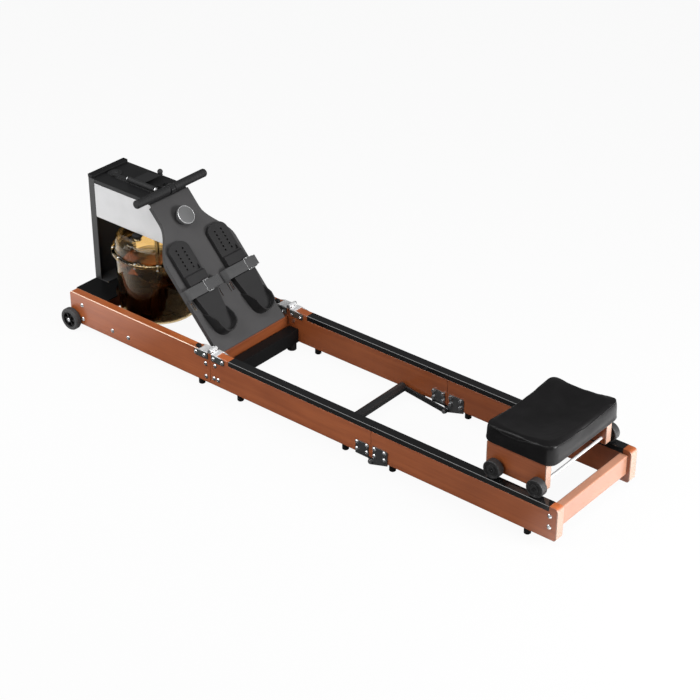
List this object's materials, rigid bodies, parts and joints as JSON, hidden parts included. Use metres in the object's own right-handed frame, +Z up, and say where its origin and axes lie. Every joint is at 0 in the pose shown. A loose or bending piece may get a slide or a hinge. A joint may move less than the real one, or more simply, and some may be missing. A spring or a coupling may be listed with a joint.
{
  "type": "folding water rowing machine",
  "caption": "Wooden-railed rowing machine with a water tank, paddle drive, sloping footboard, rolling seat and rails that fold in sections.",
  "frame": {"origin": "on the floor under the middle of the whole machine, wheels included", "axes": "+X from the water tank towards the seat, +Z up, Y across the machine, +Y to the far side of the picture"},
  "size_m": [2.053, 0.4814, 0.5608],
  "materials": {
    "wood": "satin lacquer",
    "black_sheet": "black powder coat",
    "grey_sheet": "dark grey powder coat",
    "light_panel": "smooth light",
    "board_grey": "fine textured charcoal",
    "black_plastic": "fine grain",
    "monitor_grey": "satin with a bright rim",
    "bright_steel": "brushed",
    "chrome_plate": "bright plated",
    "webbing": "woven",
    "amber_tank": "clear amber",
    "rubber": "matte",
    "gloss_black": "gloss black",
    "leather_black": "soft black upholstery",
    "wheel_black": "satin",
    "tyre_grey": "matte grey",
    "grip_rubber": "ribbed foam"
  },
  "bodies": {
    "front_section": {"front_rails": "wood", "front_beams": "wood", "base_tray": "black_sheet", "tank_cradle": "black_sheet", "head_post": "grey_sheet", "head_top_bar": "black_plastic", "box_shell": "black_sheet", "side_panels": "light_panel", "foot_board": "board_grey", "handle_rest": "black_plastic", "monitor": "monitor_grey", "shaft_bearings": "bright_steel", "belt_lead": "webbing", "tank_lower": "amber_tank", "tank_upper": "amber_tank", "tank_seals": "rubber", "tank_bolts": "bright_steel", "front_feet": "rubber", "front_bolts": "bright_steel", "fold_brackets_front": "chrome_plate", "tablet_base": "black_sheet", "foot_straps": "webbing", "strap_buckles": "chrome_plate"},
    "middle_section": {"middle_rails": "wood", "middle_tracks": "gloss_black", "middle_cross_member": "black_sheet", "middle_feet": "rubber", "fold_brackets_rear": "chrome_plate", "middle_bolts": "bright_steel", "end_brackets_middle": "bright_steel", "hinge_pins": "bright_steel"},
    "rear_section": {"rear_rails": "wood", "rear_tracks": "gloss_black", "rear_crossbeam": "wood", "rear_feet": "rubber", "end_brackets_rear": "bright_steel", "rear_bolts": "bright_steel"},
    "release_bar": {"release_bar": "black_sheet"},
    "seat": {"seat_sides": "wood", "seat_base": "black_sheet", "seat_axles": "bright_steel", "seat_cushion": "leather_black"},
    "seat_front_wheels": {"seat_front_wheels": "wheel_black"},
    "seat_rear_wheels": {"seat_rear_wheels": "wheel_black"},
    "left_wheel": {"left_wheel_tyre": "tyre_grey", "left_wheel_hub": "black_plastic"},
    "right_wheel": {"right_wheel_tyre": "tyre_grey", "right_wheel_hub": "black_plastic"},
    "handle": {"handle_bar": "bright_steel", "handle_grips": "grip_rubber", "belt": "webbing"},
    "drum": {"belt_drum": "black_plastic", "belt_coil": "webbing", "recoil_spring": "bright_steel"},
    "guide_roller": {"guide_roller": "bright_steel"},
    "paddle": {"paddle_shaft": "bright_steel", "paddle_wheel": "black_plastic"},
    "left_foot_plate": {"left_foot_plate": "black_plastic"},
    "right_foot_plate": {"right_foot_plate": "black_plastic"},
    "tablet_rest": {"tablet_rest": "black_sheet"}
  },
  "joints": [
    {"name": "fold_middle", "type": "hinge", "parent": "front_section", "child": "middle_section", "pos_m": [-0.3385, 0, 0.1465], "axis": [0, -1, 0], "range_deg": [0, 90]},
    {"name": "fold_rear", "type": "hinge", "parent": "middle_section", "child": "rear_section", "pos_m": [0.3385, 0, 0.011], "axis": [0, 1, 0], "range_deg": [0, 175]},
    {"name": "release_swing", "type": "hinge", "parent": "middle_section", "child": "release_bar", "pos_m": [0.3385, 0, 0.011], "axis": [0, 1, 0], "range_deg": [0, 25], "stiffness_Nm_per_rad": 15, "springref_deg": -8.59},
    {"name": "seat_slide", "type": "slide", "parent": "rear_section", "child": "seat", "axis": [1, 0, 0], "range_m": [-1, 0.025]},
    {"name": "seat_front_roll", "type": "hinge", "parent": "seat", "child": "seat_front_wheels", "pos_m": [0.784, 0, 0.1688], "axis": [0, 1, 0], "range_deg": [-2000, 60]},
    {"name": "seat_rear_roll", "type": "hinge", "parent": "seat", "child": "seat_rear_wheels", "pos_m": [0.937, 0, 0.1688], "axis": [0, 1, 0], "range_deg": [-2000, 60]},
    {"name": "left_wheel_spin", "type": "hinge", "parent": "front_section", "child": "left_wheel", "pos_m": [-0.9865, -0.224, 0.04], "axis": [0, 1, 0], "continuous": true},
    {"name": "right_wheel_spin", "type": "hinge", "parent": "front_section", "child": "right_wheel", "pos_m": [-0.9865, 0.224, 0.04], "axis": [0, 1, 0], "continuous": true},
    {"name": "handle_pull", "type": "slide", "parent": "front_section", "child": "handle", "axis": [1, 0, 0], "range_m": [0, 1], "stiffness_N_per_m": 12, "springref_m": -0.5},
    {"name": "drum_spin", "type": "hinge", "parent": "front_section", "child": "drum", "pos_m": [-0.7735, 0, 0.43], "axis": [0, 0, 1], "range_deg": [-1230, 5]},
    {"name": "roller_spin", "type": "hinge", "parent": "front_section", "child": "guide_roller", "pos_m": [-0.7305, 0, 0.527], "axis": [0, 1, 0], "range_deg": [-5, 5568]},
    {"name": "paddle_spin", "type": "hinge", "parent": "front_section", "child": "paddle", "pos_m": [-0.7735, 0, 0.3], "axis": [0, 0, 1], "continuous": true},
    {"name": "left_foot_slide", "type": "slide", "parent": "front_section", "child": "left_foot_plate", "axis": [-0.6691, 0, 0.7431], "range_m": [-0.04, 0.03]},
    {"name": "right_foot_slide", "type": "slide", "parent": "front_section", "child": "right_foot_plate", "axis": [-0.6691, 0, 0.7431], "range_m": [-0.04, 0.03]},
    {"name": "tablet_flip", "type": "hinge", "parent": "front_section", "child": "tablet_rest", "pos_m": [-0.7985, -0.03, 0.539], "axis": [1, 0, 0], "range_deg": [0, 100]}
  ],
  "couplings": [
    {"joint": "seat_front_roll", "follows": "seat_slide", "rad_per_m": 33.898},
    {"joint": "seat_rear_roll", "follows": "seat_slide", "rad_per_m": 33.898},
    {"joint": "drum_spin", "follows": "handle_pull", "rad_per_m": -21.368},
    {"joint": "roller_spin", "follows": "handle_pull", "rad_per_m": 97.087}
  ]
}
